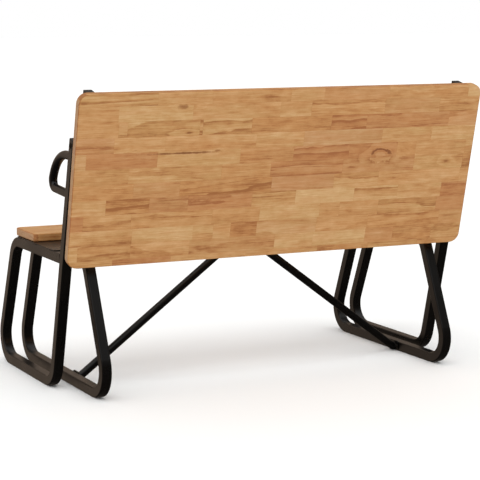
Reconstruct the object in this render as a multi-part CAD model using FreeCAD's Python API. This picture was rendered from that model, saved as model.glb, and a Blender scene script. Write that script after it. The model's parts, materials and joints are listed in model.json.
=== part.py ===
import FreeCAD, Part
import math
import os

# A bench whose backrest tips over its posts to become a picnic table top.
# Millimetres, +Z up. X runs along the bench, -Y is the side that a sitter faces
# and +Y is the back. Lengthwise pieces are centred on X = 0. Depths are given
# from the plumb line through the table pivot (negative is forward) and every
# piece is moved by one shift at the end, so that the origin lies on the floor
# under the middle of the bench.

# Wooden boards
PANEL_LENGTH = 1300.0
PANEL_WIDTH = 511.0
PANEL_THICK = 24.0
PANEL_CORNER = 30.0
PANEL_EASE = 3.0
PANEL_LEAN = 13.6
SEAT_END_INSET = 6.0
SEAT_WIDTH = 176.0
SEAT_THICK = 24.0
SEAT_CORNER = 18.0
SEAT_EASE = 4.0
SEAT_FRONT = -514.0

# Frame tube and its bends
TUBE = 30.0
TUBE_WALL = 1.5
TUBE_CORNER = 3.5
BEND_RADIUS = 70.0
WELD_GAP = 0.05

# Side frames: depths where the tube's centre lines cross
POST_INSET = 3.0
LOOP_GAP = 38.0
RAIL_TOP = 411.0
OUTER_FRONT_TOP = -520.0
OUTER_FRONT_FOOT = -688.0
POST_LEAN = 15.1
INNER_FRONT_TOP = -520.0
INNER_FRONT_FOOT = -678.0
INNER_REAR_TOP = -101.0
INNER_REAR_FOOT = 72.0

# Table pivot, seen along X: on the post's centre line
PIVOT_HEIGHT = 727.0
PIVOT_TO_LOW_EDGE = 351.0
PIVOT_TO_POST_END = 14.0
POST_END_CLEARANCE = 0.57
PIVOT_BOLT = 10.0
RUN_CLEARANCE = 0.05
FACE_CLEARANCE = 0.3
BUSH_OUTER = 16.0
DISC_OUTER = 40.0
PIVOT_HEAD = 20.0
PIVOT_HEAD_HIGH = 3.0
CLAMP_WASHER = 26.0
CLAMP_WASHER_THICK = 2.0

# Cleats under the table top
CLEAT_WIDE = 25.0
CLEAT_DEEP = 50.0
CLEAT_WALL = 1.5
CLEAT_CORNER = 2.5
CLEAT_POST_GAP = 5.0
CLEAT_SHORT = 4.0
CLEAT_PAST_LOW_EDGE = 7.0
CLEAT_PLUG_THICK = 3.0
CLEAT_PLUG_DEEP = 12.0
CLEAT_PLUG_WALL = 2.0
CLEAT_PLUG_CORNER = 1.0
CLEAT_BOLTS = 4
CLEAT_BOLT_MARGIN = 55.0

# Clamp knobs
KNOB_OUTER = 46.0
KNOB_LOBES = 6
KNOB_LOBE_CUT = 7.0
KNOB_THICK = 16.0
KNOB_HUB = 26.0
KNOB_HUB_LONG = 10.0
KNOB_INSERT = 15.0
KNOB_BOLT_END = 3.0
KNOB_ROUND = 2.0
KNOB_CUT_OUTSET = 3.15

# Caps on the posts
POST_CAP_THICK = 4.0
POST_CAP_ROUND = 3.2
POST_CAP_STEM = 5.0
PLUG_CLEARANCE = 0.1

# Arm loops on the posts: round tube, a wide bend over a tight one
ARM_TUBE = 25.0
ARM_WALL = 1.5
ARM_DROP = 20.0
ARM_BIG_BEND = 128.0
ARM_BIG_DEPTH = -71.0
ARM_BEND_CHANGE = 26.0
ARM_SMALL_BEND = 22.0
ARM_LOWER_FALL = 3.3

# Rubber buffers that the backrest leans on
BUFFER_OUTER = 24.0
BUFFER_FROM_LOW_EDGE = 45.0
BUFFER_STEM = 8.0
BUFFER_STEM_LONG = 6.0
BUFFER_BLANK = 60.0

# Cross tubes between the inner loops
STRETCHER_WALL = 1.5
BRACE_STRETCHER_DEPTH = -243.5
STRETCHER_PLUG = 14.0
STRETCHER_BOLT = 8.0
STRETCHER_HEAD = 14.0
STRETCHER_HEAD_HIGH = 4.0
STRETCHER_BOLT_SHORT = 1.0

# Seat fixings
SEAT_PLATE_THICK = 2.5
SEAT_PLATE_INSET = 29.0
SEAT_PLATE_TO_POST = 54.0
SEAT_PLATE_EDGE = 2.0
SEAT_PLATE_CORNER = 6.0
SEAT_SCREW = 5.0
SEAT_SCREW_IN_WOOD = 15.0
SEAT_SCREWS = 3
SEAT_SCREW_MARGIN = 12.0
SEAT_SCREW_HEAD = 10.0
SEAT_SCREW_HEAD_HIGH = 3.0
SEAT_SCREW_SPARE = 0.5

# Diagonal braces: round tube, solid at its foot
BRACE_TUBE = 24.0
BRACE_WALL = 1.5
BRACE_SOLID_FOOT = 20.0
BRACE_TOP_MEET = 51.4
BRACE_FOOT_AXIS = 9.5
BRACE_PLATE = 3.0
BRACE_FOOT_LONG = 54.0
BRACE_FOOT_LOW = 3.0
BRACE_FOOT_HIGH = 33.0
BRACE_FOOT_ROUND = 9.0
BRACE_FOOT_PITCH = 40.0
BRACE_HEAD_LONG = 84.0
BRACE_HEAD_WIDE = 30.0
BRACE_HEAD_PITCH = 62.0
BRACE_BLANK = 40.0
ROOM = 50.0

# Bolts and screws: shanks, heads and the clearance of their holes
SMALL_BOLT = 6.0
SMALL_BOLT_IN = 10.0
SMALL_HEAD = 11.0
SMALL_HEAD_HIGH = 3.0
SOCKET_SHARE = 0.38
SOCKET_FLOOR_SHARE = 0.4
BOLT_HOLE_CLEARANCE = 0.1
PAST = 1.0
INSERT_OUTER = 10.0
INSERT_LONG = 12.0
INSERT_FLOOR = 1.0

# Values that follow from the ones above
HALF = TUBE / 2
PIVOT_TO_FACE = math.hypot(PIVOT_TO_POST_END + POST_CAP_THICK, HALF) + POST_END_CLEARANCE
BUFFER_DOWN = PIVOT_TO_LOW_EDGE - BUFFER_FROM_LOW_EDGE
ARM_TOP = PIVOT_HEIGHT - ARM_DROP
POST_OUT = PANEL_LENGTH / 2 - POST_INSET
POST_IN = POST_OUT - TUBE
LOOP_OUT = POST_IN - LOOP_GAP
LOOP_IN = LOOP_OUT - TUBE
CLEAT_OUT = POST_IN - CLEAT_POST_GAP
CLEAT_IN = CLEAT_OUT - CLEAT_WIDE
CLEAT_LENGTH = PANEL_WIDTH - CLEAT_SHORT
SEAT_LENGTH = 2 * (POST_OUT - SEAT_END_INSET)
RAIL_AXIS = RAIL_TOP - HALF
FOOT_AXIS = HALF
SEAT_UNDER = RAIL_TOP + SEAT_PLATE_THICK
SEAT_MIDDLE = SEAT_FRONT + SEAT_WIDTH / 2
SIDES = (("left", -1.0), ("right", 1.0))
X_AXIS = FreeCAD.Vector(1, 0, 0)
Y_AXIS = FreeCAD.Vector(0, 1, 0)
Z_AXIS = FreeCAD.Vector(0, 0, 1)
PIVOT = FreeCAD.Vector(0, 0, PIVOT_HEIGHT)
POST_UP = FreeCAD.Vector(0, math.sin(math.radians(POST_LEAN)), math.cos(math.radians(POST_LEAN)))
POST_BACK = FreeCAD.Vector(0, POST_UP.z, -POST_UP.y)
PANEL_UP = FreeCAD.Vector(0, math.sin(math.radians(PANEL_LEAN)), math.cos(math.radians(PANEL_LEAN)))
PANEL_BACK = FreeCAD.Vector(0, PANEL_UP.z, -PANEL_UP.y)
STOCK_FLAT = TUBE - 2 * TUBE_WALL


def vec(x, y, z):
    return FreeCAD.Vector(x, y, z)


def turned(first, second, third):
    """A rotation whose local X, Y and Z axes point along the three directions."""
    return FreeCAD.Rotation(first, second, third, "ZXY")


def bend_points(corners, radii, closed):
    """Where each bend of a tube's centre line starts, its middle and its end."""
    bends = []
    count = len(corners)
    for index, corner in enumerate(corners):
        at_end = index in (0, count - 1)
        if at_end and not closed:
            bends.append((corner, None, corner))
            continue
        before = (corners[index - 1] - corner).normalize()
        after = (corners[(index + 1) % count] - corner).normalize()
        half_angle = before.getAngle(after) / 2
        radius = radii[index]
        middle_line = (before + after).normalize()
        centre = corner + middle_line * (radius / math.sin(half_angle))
        reach = radius / math.tan(half_angle)
        bends.append((corner + before * reach, centre - middle_line * radius, corner + after * reach))
    return bends


def bent_path(corners, radii, closed=False):
    """A wire of straight runs and tangent arcs through the given corners."""
    bends = bend_points(corners, radii, closed)
    count = len(bends)
    edges = []
    for index, (start, middle, end) in enumerate(bends):
        if middle is not None:
            edges.append(Part.Arc(start, middle, end).toShape())
        if index + 1 < count or closed:
            following = bends[(index + 1) % count][0]
            edges.append(Part.LineSegment(end, following).toShape())
    if closed:
        last = edges.pop()
        midway = last.valueAt((last.FirstParameter + last.LastParameter) / 2)
        edges.insert(0, Part.LineSegment(midway, last.Vertexes[-1].Point).toShape())
        edges.append(Part.LineSegment(last.Vertexes[0].Point, midway).toShape())
    return Part.Wire(edges)


def rounded_rectangle(wide, high, corner):
    """A closed wire in the XY plane, centred on the origin."""
    x = wide / 2
    y = high / 2
    slip = corner * (1 - math.sqrt(0.5))
    signs = ((1, 1), (-1, 1), (-1, -1), (1, -1))
    points = []
    for index, (sx, sy) in enumerate(signs):
        along_x = vec(sx * (x - corner), sy * y, 0)
        along_y = vec(sx * x, sy * (y - corner), 0)
        middle = vec(sx * (x - slip), sy * (y - slip), 0)
        first, last = (along_y, along_x) if index % 2 == 0 else (along_x, along_y)
        points.append((first, middle, last))
    edges = []
    for index, (first, middle, last) in enumerate(points):
        edges.append(Part.Arc(first, middle, last).toShape())
        edges.append(Part.LineSegment(last, points[(index + 1) % 4][0]).toShape())
    return Part.Wire(edges)


def section_on(path, wide, high, corner):
    """A rounded rectangle at the start of a path that lies in a plane of X."""
    start = path.Edges[0]
    ahead = start.tangentAt(start.FirstParameter)
    wire = rounded_rectangle(wide, high, corner)
    rotation = turned(X_AXIS, ahead.cross(X_AXIS), ahead)
    wire.Placement = FreeCAD.Placement(start.valueAt(start.FirstParameter), rotation)
    return wire


def pipe(path, wide, high, corner, wall):
    """A hollow tube of rectangular section along a path."""
    outer = path.makePipeShell([section_on(path, wide, high, corner)], True, False)
    inner_section = section_on(path, wide - 2 * wall, high - 2 * wall, max(corner - wall, 0.5))
    inner = path.makePipeShell([inner_section], True, False)
    return outer.cut(inner)


def bar(start, end, wide, deep, corner, wall, across=X_AXIS):
    """A straight hollow tube: wide across, deep at right angles to that."""
    ahead = (end - start).normalize()
    side = (across - ahead * across.dot(ahead)).normalize()
    rotation = turned(side, ahead.cross(side), ahead)
    length = (end - start).Length
    outer_face = Part.Face(rounded_rectangle(wide, deep, corner))
    solid = outer_face.extrude(Z_AXIS * length)
    if wall > 0:
        inner_wire = rounded_rectangle(wide - 2 * wall, deep - 2 * wall, max(corner - wall, 0.5))
        solid = solid.cut(Part.Face(inner_wire).extrude(Z_AXIS * length))
    solid.Placement = FreeCAD.Placement(start, rotation)
    return solid


def rod(diameter, start, end):
    ahead = end - start
    return Part.makeCylinder(diameter / 2, ahead.Length, start, ahead)


def ring(outer, inner, start, end):
    return rod(outer, start, end).cut(rod(inner, start, end))


def hex_socket(across, start, ahead, deep):
    """A hexagonal blank as wide as its corners, to sink in a screw's head."""
    steps = [math.radians(60 * n) for n in range(7)]
    corners = [vec(math.cos(step), math.sin(step), 0) * (across / 2) for step in steps]
    blank = Part.Face(Part.makePolygon(corners)).extrude(Z_AXIS * deep)
    blank.Placement = FreeCAD.Placement(start, FreeCAD.Rotation(Z_AXIS, ahead))
    return blank


def machine_bolt(shank, head, head_high, start, ahead, length):
    """A turned bolt with a low domed head and a hexagonal socket.

    The head rises from start along ahead, and the shank runs the other way.
    """
    dome = (head * head / 4 + head_high * head_high) / (2 * head_high)
    half_dome = math.asin(head / 2 / dome) / 2
    middle = vec(dome * math.sin(half_dome), 0, head_high - dome + dome * math.cos(half_dome))
    tip = vec(0, 0, -length)
    top = vec(0, 0, head_high)
    shank_end = vec(shank / 2, 0, -length)
    shank_root = vec(shank / 2, 0, 0)
    rim = vec(head / 2, 0, 0)
    profile = Part.Wire([
        Part.LineSegment(tip, shank_end).toShape(),
        Part.LineSegment(shank_end, shank_root).toShape(),
        Part.LineSegment(shank_root, rim).toShape(),
        Part.Arc(rim, middle, top).toShape(),
        Part.LineSegment(top, tip).toShape(),
    ])
    solid = Part.Face(profile).revolve(vec(0, 0, 0), Z_AXIS, 360)
    solid.Placement = FreeCAD.Placement(start, FreeCAD.Rotation(Z_AXIS, ahead))
    floor = start + ahead * (head_high * SOCKET_FLOOR_SHARE)
    return solid.cut(hex_socket(head * SOCKET_SHARE, floor, ahead, head_high))


def small_bolt(start, ahead, length):
    return machine_bolt(SMALL_BOLT, SMALL_HEAD, SMALL_HEAD_HIGH, start, ahead, length)


def box_between(low, high):
    size = high - low
    return Part.makeBox(size.x, size.y, size.z, low)


def on_post(down, back=0.0, x=0.0):
    """A point of the post's side view: down from the pivot and back from its centre line."""
    return PIVOT - POST_UP * down + POST_BACK * back + vec(x, 0, 0)


def on_panel(up, back=0.0, x=0.0):
    """A point of the backrest: up from its low edge and back from its front face."""
    low_edge = PIVOT + PANEL_BACK * PIVOT_TO_FACE - PANEL_UP * PIVOT_TO_LOW_EDGE
    return low_edge + PANEL_UP * up + PANEL_BACK * back + vec(x, 0, 0)


def post_depth(height):
    """Depth of the post's centre line at a height above the floor."""
    return (height - PIVOT_HEIGHT) * math.tan(math.radians(POST_LEAN))


def board(length, width, thick, corner, ease):
    """A flat board in the XY plane with rounded corners and eased edges."""
    solid = Part.Face(rounded_rectangle(length, width, corner)).extrude(Z_AXIS * thick)
    rims = [edge for edge in solid.Edges if abs(edge.BoundBox.ZLength) < 0.01]
    return solid.makeFillet(ease, rims)


def cleat_bolt_places():
    """Heights along the backrest of the bolts that hold it on a cleat."""
    first = CLEAT_BOLT_MARGIN
    pitch = (PANEL_WIDTH - 2 * CLEAT_BOLT_MARGIN) / (CLEAT_BOLTS - 1)
    return [first + pitch * n for n in range(CLEAT_BOLTS)]


def cleat_middle(side):
    return side * (CLEAT_OUT + CLEAT_IN) / 2


def tabletop_panel():
    solid = board(PANEL_LENGTH, PANEL_WIDTH, PANEL_THICK, PANEL_CORNER, PANEL_EASE)
    rotation = turned(X_AXIS, PANEL_UP, X_AXIS.cross(PANEL_UP))
    solid.Placement = FreeCAD.Placement(on_panel(PANEL_WIDTH / 2, PANEL_THICK), rotation)
    for _, side in SIDES:
        for up in cleat_bolt_places():
            mouth = on_panel(up, 0, cleat_middle(side))
            deep = INSERT_LONG + INSERT_FLOOR
            solid = solid.cut(rod(INSERT_OUTER + 2 * WELD_GAP, mouth, mouth + PANEL_BACK * deep))
    return solid


def table_inserts():
    solids = []
    for _, side in SIDES:
        for up in cleat_bolt_places():
            mouth = on_panel(up, 0, cleat_middle(side))
            bore = SMALL_BOLT + 2 * RUN_CLEARANCE
            solids.append(ring(INSERT_OUTER, bore, mouth, mouth + PANEL_BACK * INSERT_LONG))
    return solids


def table_bolts():
    solids = []
    length = CLEAT_DEEP + SMALL_BOLT_IN
    for _, side in SIDES:
        for up in cleat_bolt_places():
            start = on_panel(up, -CLEAT_DEEP, cleat_middle(side))
            solids.append(small_bolt(start, PANEL_BACK * -1, length))
    return solids


def cleat(side):
    """A rectangular tube on the front face of the backrest, drilled for its bolts and pivot."""
    low = on_panel(-CLEAT_PAST_LOW_EDGE, -CLEAT_DEEP / 2, cleat_middle(side))
    high = low + PANEL_UP * CLEAT_LENGTH
    solid = bar(low, high, CLEAT_WIDE, CLEAT_DEEP, CLEAT_CORNER, CLEAT_WALL)
    for up in cleat_bolt_places():
        start = on_panel(up, -CLEAT_DEEP - PAST, cleat_middle(side))
        hole = SMALL_BOLT + 2 * BOLT_HOLE_CLEARANCE
        solid = solid.cut(rod(hole, start, start + PANEL_BACK * (CLEAT_DEEP + 2 * PAST)))
    bush_hole = BUSH_OUTER + 2 * WELD_GAP
    across = rod(bush_hole, PIVOT + X_AXIS * side * CLEAT_IN, PIVOT + X_AXIS * side * CLEAT_OUT)
    return solid.cut(across)


def cleat_bushes():
    bore = PIVOT_BOLT + 2 * RUN_CLEARANCE
    solids = []
    for _, side in SIDES:
        start = PIVOT + X_AXIS * side * CLEAT_IN
        solids.append(ring(BUSH_OUTER, bore, start, start + X_AXIS * side * CLEAT_WIDE))
    return solids


def cleat_end_plugs():
    """A plastic plug in each end of both cleats, with a thin flange and a hollow stem."""
    solids = []
    ends = ((-CLEAT_PAST_LOW_EDGE, -1.0), (CLEAT_LENGTH - CLEAT_PAST_LOW_EDGE, 1.0))
    stem_wide = CLEAT_WIDE - 2 * CLEAT_WALL - 2 * PLUG_CLEARANCE
    stem_deep = CLEAT_DEEP - 2 * CLEAT_WALL - 2 * PLUG_CLEARANCE
    for _, side in SIDES:
        for up, outward in ends:
            seat = on_panel(up, -CLEAT_DEEP / 2, cleat_middle(side))
            tip = seat + PANEL_UP * outward * CLEAT_PLUG_THICK
            flange = bar(seat, tip, CLEAT_WIDE, CLEAT_DEEP, CLEAT_CORNER, 0)
            inner = seat - PANEL_UP * outward * CLEAT_PLUG_DEEP
            stem = bar(seat, inner, stem_wide, stem_deep, CLEAT_PLUG_CORNER, CLEAT_PLUG_WALL)
            solids.append(flange.fuse(stem).removeSplitter())
    return solids


def rail_and_leg_path(side):
    """Centre line of an outer side frame's top rail, front leg and half of its floor rail."""
    x = side * (POST_OUT - HALF)
    rail_rear = post_depth(RAIL_AXIS) - HALF / math.cos(math.radians(POST_LEAN))
    corners = [
        vec(x, rail_rear + TUBE_WALL, RAIL_AXIS),
        vec(x, OUTER_FRONT_TOP, RAIL_AXIS),
        vec(x, OUTER_FRONT_FOOT, FOOT_AXIS),
        vec(x, floor_rail_middle(), FOOT_AXIS),
    ]
    return bent_path(corners, [BEND_RADIUS] * len(corners))


def post_path(side):
    """Centre line of the other half of the floor rail and the post that rises from it."""
    x = side * (POST_OUT - HALF)
    corners = [
        vec(x, floor_rail_middle(), FOOT_AXIS),
        vec(x, post_depth(FOOT_AXIS), FOOT_AXIS),
        on_post(-PIVOT_TO_POST_END, 0, x),
    ]
    return bent_path(corners, [BEND_RADIUS] * len(corners))


def floor_rail_middle():
    return (OUTER_FRONT_FOOT + post_depth(FOOT_AXIS)) / 2


def outer_frame(side):
    """One bent tube whose rear end is welded to its own post."""
    rail = pipe(rail_and_leg_path(side), TUBE, TUBE, TUBE_CORNER, TUBE_WALL)
    post = pipe(post_path(side), TUBE, TUBE, TUBE_CORNER, TUBE_WALL)
    x = side * (POST_OUT - HALF)
    hollow_start = on_post(PIVOT_HEIGHT - RAIL_AXIS + 2 * TUBE, 0, x)
    hollow_end = on_post(-PIVOT_TO_POST_END, 0, x)
    hollow = bar(hollow_start, hollow_end, STOCK_FLAT, STOCK_FLAT, TUBE_CORNER - TUBE_WALL, 0)
    solid = rail.fuse(post).cut(hollow).removeSplitter()
    bush_hole = BUSH_OUTER + 2 * WELD_GAP
    across = rod(bush_hole, PIVOT + X_AXIS * side * POST_IN, PIVOT + X_AXIS * side * POST_OUT)
    stem_mouth = on_post(BUFFER_DOWN, HALF, x)
    stem_end = stem_mouth - POST_BACK * (TUBE_WALL + PAST)
    stem_hole = rod(BUFFER_STEM + 2 * WELD_GAP, stem_mouth + POST_BACK * PAST, stem_end)
    return solid.cut(across).cut(stem_hole)


def post_bushes():
    bore = PIVOT_BOLT + 2 * RUN_CLEARANCE
    solids = []
    for _, side in SIDES:
        start = PIVOT + X_AXIS * side * POST_IN
        solids.append(ring(BUSH_OUTER, bore, start, start + X_AXIS * side * TUBE))
    return solids


def inner_loop(side):
    """A closed bent tube beside the outer frame, splayed to the back under the table top."""
    x = side * (LOOP_OUT - HALF)
    corners = [
        vec(x, INNER_REAR_TOP, RAIL_AXIS),
        vec(x, INNER_FRONT_TOP, RAIL_AXIS),
        vec(x, INNER_FRONT_FOOT, FOOT_AXIS),
        vec(x, INNER_REAR_FOOT, FOOT_AXIS),
    ]
    path = bent_path(corners, [BEND_RADIUS] * len(corners), closed=True)
    solid = pipe(path, TUBE, TUBE, TUBE_CORNER, TUBE_WALL)
    for depth, height in stretcher_places():
        hole = STRETCHER_BOLT + 2 * BOLT_HOLE_CLEARANCE
        start = vec(side * (LOOP_IN - PAST), depth, height)
        solid = solid.cut(rod(hole, start, start + X_AXIS * side * (TUBE + 2 * PAST)))
    for y in brace_foot_screws():
        hole = SMALL_BOLT + 2 * BOLT_HOLE_CLEARANCE
        start = vec(side * (LOOP_IN - PAST), y, FOOT_AXIS)
        solid = solid.cut(rod(hole, start, start + X_AXIS * side * (TUBE_WALL + 2 * PAST)))
    return solid


def post_cap(side):
    """A plastic cap with rounded rims and a short stem in the post's end."""
    x = side * (POST_OUT - HALF)
    seat = on_post(-PIVOT_TO_POST_END, 0, x)
    cap = bar(seat, seat + POST_UP * POST_CAP_THICK, TUBE, TUBE, TUBE_CORNER, 0)
    top = seat + POST_UP * POST_CAP_THICK
    rims = [edge for edge in cap.Edges if abs((edge.CenterOfMass - top).dot(POST_UP)) < 0.01]
    cap = cap.makeFillet(POST_CAP_ROUND, rims)
    flat = STOCK_FLAT - 2 * PLUG_CLEARANCE
    stem = bar(seat, seat - POST_UP * POST_CAP_STEM, flat, flat, TUBE_CORNER - TUBE_WALL, 0)
    return cap.fuse(stem).removeSplitter()


def round_pipe(path, diameter, wall):
    """A hollow round tube along a path."""
    start = path.Edges[0]
    ahead = start.tangentAt(start.FirstParameter)
    place = start.valueAt(start.FirstParameter)
    outer_ring = Part.Wire(Part.makeCircle(diameter / 2, place, ahead))
    inner_ring = Part.Wire(Part.makeCircle(diameter / 2 - wall, place, ahead))
    outer = path.makePipeShell([outer_ring], True, False)
    return outer.cut(path.makePipeShell([inner_ring], True, False))


def arm_loop(side):
    """A bent round tube on the front of the post: a wide bend over a tight one."""
    x = side * (POST_OUT - HALF)
    top = ARM_TOP - ARM_TUBE / 2
    change = math.radians(ARM_BEND_CHANGE)
    spread = ARM_BIG_BEND - ARM_SMALL_BEND
    big = vec(x, ARM_BIG_DEPTH, top - ARM_BIG_BEND)
    small = big + vec(0, -spread * math.cos(change), spread * math.sin(change))

    def on_bend(centre, radius, degrees):
        angle = math.radians(degrees)
        return centre + vec(0, -radius * math.cos(angle), radius * math.sin(angle))

    small_last = ARM_LOWER_FALL - 90
    big_start = on_bend(big, ARM_BIG_BEND, 90)
    big_middle = on_bend(big, ARM_BIG_BEND, (90 + ARM_BEND_CHANGE) / 2)
    big_end = on_bend(big, ARM_BIG_BEND, ARM_BEND_CHANGE)
    small_middle = on_bend(small, ARM_SMALL_BEND, (ARM_BEND_CHANGE + small_last) / 2)
    small_end = on_bend(small, ARM_SMALL_BEND, small_last)
    run = post_depth(small_end.z) - small_end.y
    post_bottom = small_end + vec(0, run, -run * math.tan(math.radians(ARM_LOWER_FALL)))
    path = Part.Wire([
        Part.LineSegment(vec(x, post_depth(top), top), big_start).toShape(),
        Part.Arc(big_start, big_middle, big_end).toShape(),
        Part.Arc(big_end, small_middle, small_end).toShape(),
        Part.LineSegment(small_end, post_bottom).toShape(),
    ])
    solid = round_pipe(path, ARM_TUBE, ARM_WALL)
    behind = Part.makeBox(2 * TUBE, 4 * TUBE, 2 * PIVOT_HEIGHT)
    start = on_post(PIVOT_HEIGHT, -HALF, x - TUBE)
    behind.Placement = FreeCAD.Placement(start, turned(X_AXIS, POST_BACK, POST_UP))
    return solid.cut(behind)


def rest_buffer(side):
    """A rubber foot on the back of the post, cut to the slope of the backrest."""
    x = side * (POST_OUT - HALF)
    seat = on_post(BUFFER_DOWN, HALF, x)
    body = rod(BUFFER_OUTER, seat, seat + POST_BACK * BUFFER_BLANK)
    behind = Part.makeBox(2 * BUFFER_OUTER, BUFFER_BLANK, PANEL_WIDTH)
    start = on_panel(0, -FACE_CLEARANCE, x - BUFFER_OUTER)
    behind.Placement = FreeCAD.Placement(start, turned(X_AXIS, PANEL_BACK, PANEL_UP))
    body = body.cut(behind)
    stem = rod(BUFFER_STEM, seat, seat - POST_BACK * BUFFER_STEM_LONG)
    return body.fuse(stem).removeSplitter()


def pivot_bolt(side):
    """A button-head bolt through the post and the cleat, into the clamp knob."""
    out = X_AXIS * side
    length = POST_OUT - knob_outer_end() - KNOB_BOLT_END
    return machine_bolt(PIVOT_BOLT, PIVOT_HEAD, PIVOT_HEAD_HIGH, PIVOT + out * POST_OUT, out, length)


def pivot_discs():
    """A wide ring welded to each post, which the cleat is clamped against."""
    bore = PIVOT_BOLT + 2 * RUN_CLEARANCE
    solids = []
    for _, side in SIDES:
        start = PIVOT + X_AXIS * side * POST_IN
        solids.append(ring(DISC_OUTER, bore, start, PIVOT + X_AXIS * side * (CLEAT_OUT + FACE_CLEARANCE)))
    return solids


def clamp_washer_face():
    return CLEAT_IN - FACE_CLEARANCE


def knob_inner_end():
    return clamp_washer_face() - CLAMP_WASHER_THICK - FACE_CLEARANCE


def knob_outer_end():
    return knob_inner_end() - KNOB_HUB_LONG - KNOB_THICK


def clamp_washers():
    bore = PIVOT_BOLT + 2 * RUN_CLEARANCE
    solids = []
    for _, side in SIDES:
        start = PIVOT + X_AXIS * side * clamp_washer_face()
        solids.append(ring(CLAMP_WASHER, bore, start, start - X_AXIS * side * CLAMP_WASHER_THICK))
    return solids


def clamp_knob(side):
    """A lobed plastic knob with a hub, bored for its metal insert."""
    hub_face = PIVOT + X_AXIS * side * knob_inner_end()
    inward = X_AXIS * -side
    star_start = hub_face + inward * KNOB_HUB_LONG
    star = rod(KNOB_OUTER, star_start, star_start + inward * KNOB_THICK)
    cutter_ring = KNOB_OUTER / 2 + KNOB_CUT_OUTSET
    for lobe in range(KNOB_LOBES):
        angle = math.radians(360 / KNOB_LOBES * (lobe + 0.5))
        offset = vec(0, cutter_ring * math.cos(angle), cutter_ring * math.sin(angle))
        start = star_start + offset - inward * PAST
        star = star.cut(rod(2 * KNOB_LOBE_CUT, start, start + inward * (KNOB_THICK + 2 * PAST)))
    solid = star.fuse(rod(KNOB_HUB, hub_face, star_start)).removeSplitter()
    end_x = (star_start + inward * KNOB_THICK).x
    rims = [edge for edge in solid.Edges if abs(edge.CenterOfMass.x - end_x) < 0.01]
    solid = solid.makeFillet(KNOB_ROUND, rims)
    mouth = hub_face - inward * PAST
    return solid.cut(rod(KNOB_INSERT + 2 * WELD_GAP, mouth, hub_face + inward * knob_insert_long()))


def knob_insert_long():
    return KNOB_HUB_LONG + KNOB_THICK - KNOB_BOLT_END


def knob_insert(side):
    hub_face = PIVOT + X_AXIS * side * knob_inner_end()
    bore = PIVOT_BOLT + 2 * RUN_CLEARANCE
    return ring(KNOB_INSERT, bore, hub_face, hub_face - X_AXIS * side * (knob_insert_long() - WELD_GAP))


def stretcher_places():
    """Depth and height of the two cross tubes: under the seat, and over the braces."""
    return ((SEAT_MIDDLE, SEAT_UNDER - HALF), (BRACE_STRETCHER_DEPTH, RAIL_AXIS))


def stretcher(depth, height):
    ends = (vec(-LOOP_IN, depth, height), vec(LOOP_IN, depth, height))
    return bar(*ends, TUBE, TUBE, TUBE_CORNER, STRETCHER_WALL, Y_AXIS)


def seat_stretcher():
    depth, height = stretcher_places()[0]
    return stretcher(depth, height)


def brace_stretcher():
    depth, height = stretcher_places()[1]
    solid = stretcher(depth, height)
    hole = SMALL_BOLT + 2 * BOLT_HOLE_CLEARANCE
    under = height - HALF
    for _, side in SIDES:
        for x in brace_head_screws(side):
            start = vec(x, depth, under - PAST)
            solid = solid.cut(rod(hole, start, start + Z_AXIS * (STRETCHER_WALL + 2 * PAST)))
    return solid


def stretcher_plugs():
    """A threaded block welded into each end of both cross tubes."""
    flat = TUBE - 2 * STRETCHER_WALL - 2 * WELD_GAP
    bore = STRETCHER_BOLT + 2 * RUN_CLEARANCE
    solids = []
    for depth, height in stretcher_places():
        for _, side in SIDES:
            start = vec(side * LOOP_IN, depth, height)
            end = vec(side * (LOOP_IN - STRETCHER_PLUG), depth, height)
            block = bar(start, end, flat, flat, TUBE_CORNER - STRETCHER_WALL, 0, Y_AXIS)
            solids.append(block.cut(rod(bore, start, end)))
    return solids


def stretcher_bolts():
    solids = []
    for depth, height in stretcher_places():
        for _, side in SIDES:
            start = vec(side * LOOP_OUT, depth, height)
            length = TUBE + STRETCHER_PLUG - STRETCHER_BOLT_SHORT
            head = (STRETCHER_HEAD, STRETCHER_HEAD_HIGH)
            solids.append(machine_bolt(STRETCHER_BOLT, *head, start, X_AXIS * side, length))
    return solids


def seat_screw_places():
    """Depths of the wood screws that hold the seat to each seat plate."""
    margin = SEAT_PLATE_INSET + SEAT_SCREW_MARGIN
    first = SEAT_FRONT + margin
    pitch = (SEAT_WIDTH - 2 * margin) / (SEAT_SCREWS - 1)
    return [first + pitch * n for n in range(SEAT_SCREWS)]


def gap_middle(side):
    """Middle of the gap between the outer frame and the inner loop."""
    return side * (POST_IN + LOOP_OUT) / 2


def seat_board():
    solid = board(SEAT_LENGTH, SEAT_WIDTH, SEAT_THICK, SEAT_CORNER, SEAT_EASE)
    solid.translate(vec(0, SEAT_MIDDLE, SEAT_UNDER))
    hole = SEAT_SCREW + 2 * BOLT_HOLE_CLEARANCE
    for _, side in SIDES:
        for y in seat_screw_places():
            mouth = vec(gap_middle(side), y, SEAT_UNDER)
            deep = SEAT_SCREW_IN_WOOD + SEAT_SCREW_SPARE
            solid = solid.cut(rod(hole, mouth - Z_AXIS * PAST, mouth + Z_AXIS * deep))
    return solid


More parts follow.
